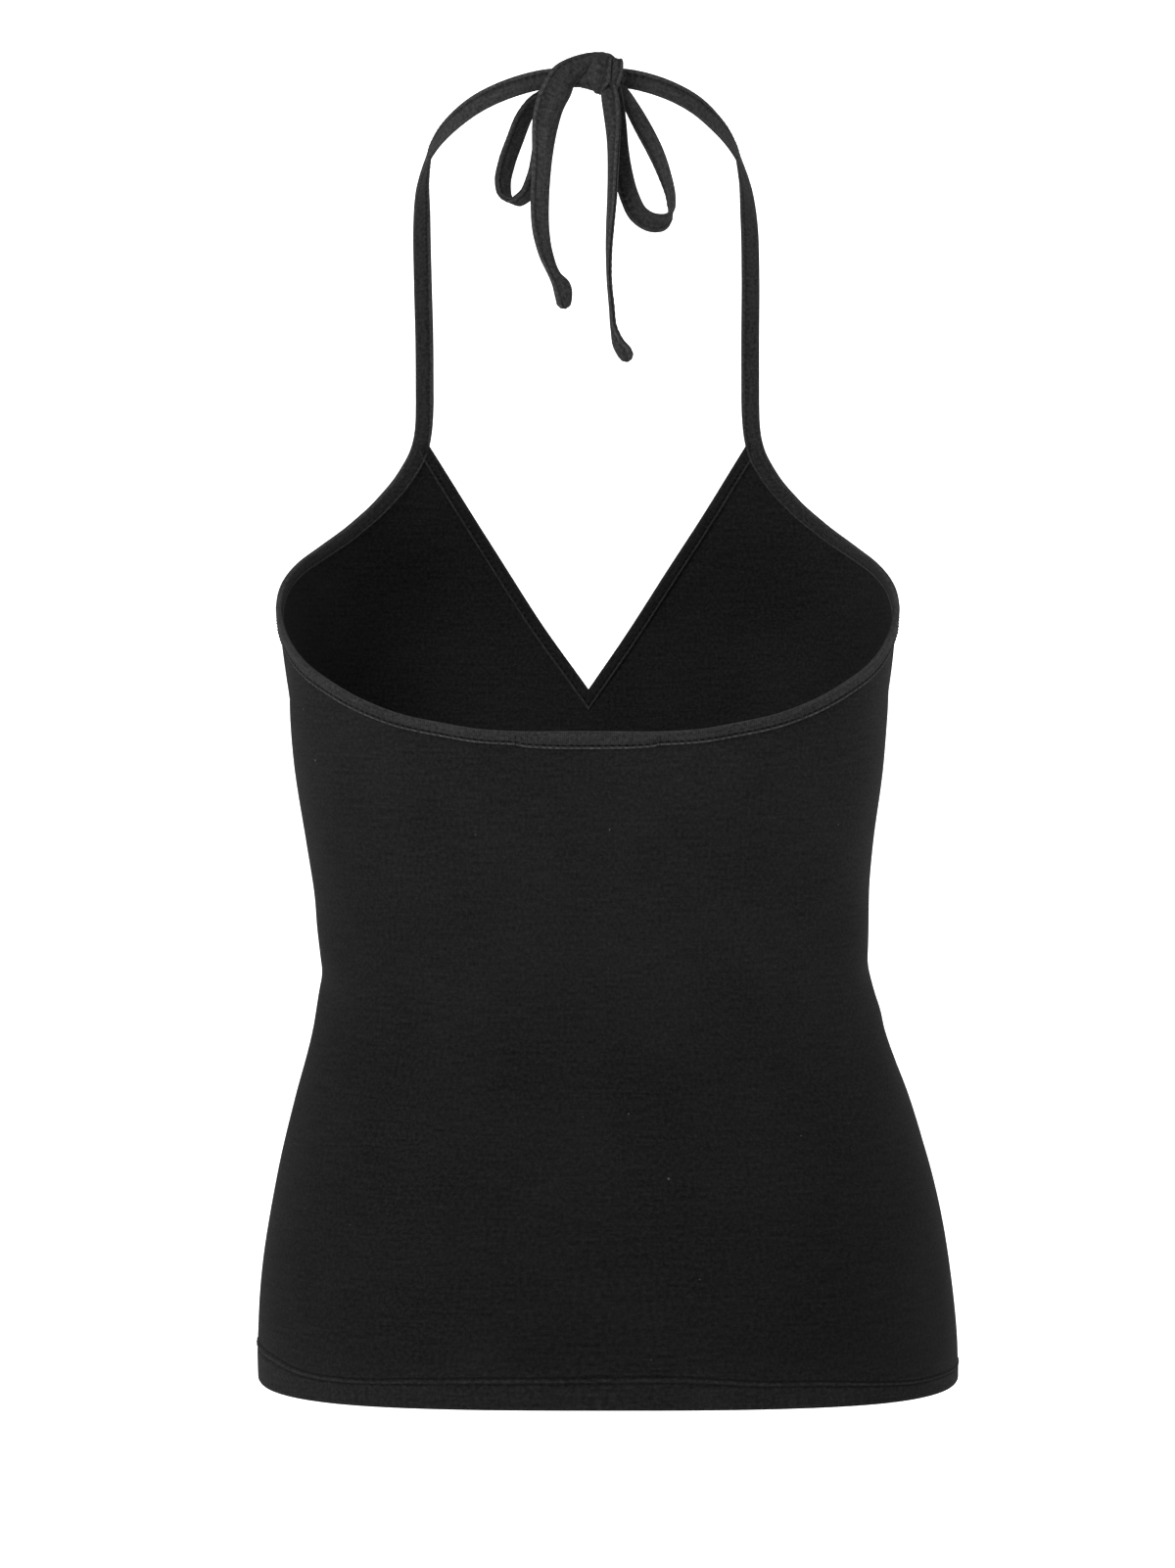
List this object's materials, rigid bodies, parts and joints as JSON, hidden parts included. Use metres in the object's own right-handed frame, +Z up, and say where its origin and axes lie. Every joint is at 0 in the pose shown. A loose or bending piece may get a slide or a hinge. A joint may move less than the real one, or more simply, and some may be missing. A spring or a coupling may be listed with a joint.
{
  "type": "halter neck top",
  "caption": "Sleeveless jersey top as worn, with a low scooped back, a V neckline at the front and narrow neck ties knotted in a bow at the nape",
  "frame": {"origin": "where the two ties cross at the nape of the wearer's neck, at the middle of the knot's front side", "axes": "+Z up along the wearer's back, +Y out of the wearer's back, +X to the wearer's left"},
  "size_m": [0.3192, 0.222, 0.5939],
  "materials": {
    "back_jersey": "matte black stretch jersey",
    "front_jersey": "matte black stretch jersey",
    "binding_jersey": "black jersey binding, folded and stitched",
    "tie_jersey": "black jersey tie, folded and stitched"
  },
  "bodies": {
    "root": {"back_panel": "back_jersey", "front_panel": "front_jersey", "back_binding": "binding_jersey", "left_halter_strip": "tie_jersey", "right_halter_strip": "tie_jersey", "left_neck_binding": "binding_jersey", "right_neck_binding": "binding_jersey", "left_loop": "tie_jersey", "right_loop": "tie_jersey", "left_tail": "tie_jersey", "right_tail": "tie_jersey", "knot_stub": "tie_jersey", "knot_core": "tie_jersey", "knot_wrap": "tie_jersey"}
  },
  "joints": []
}
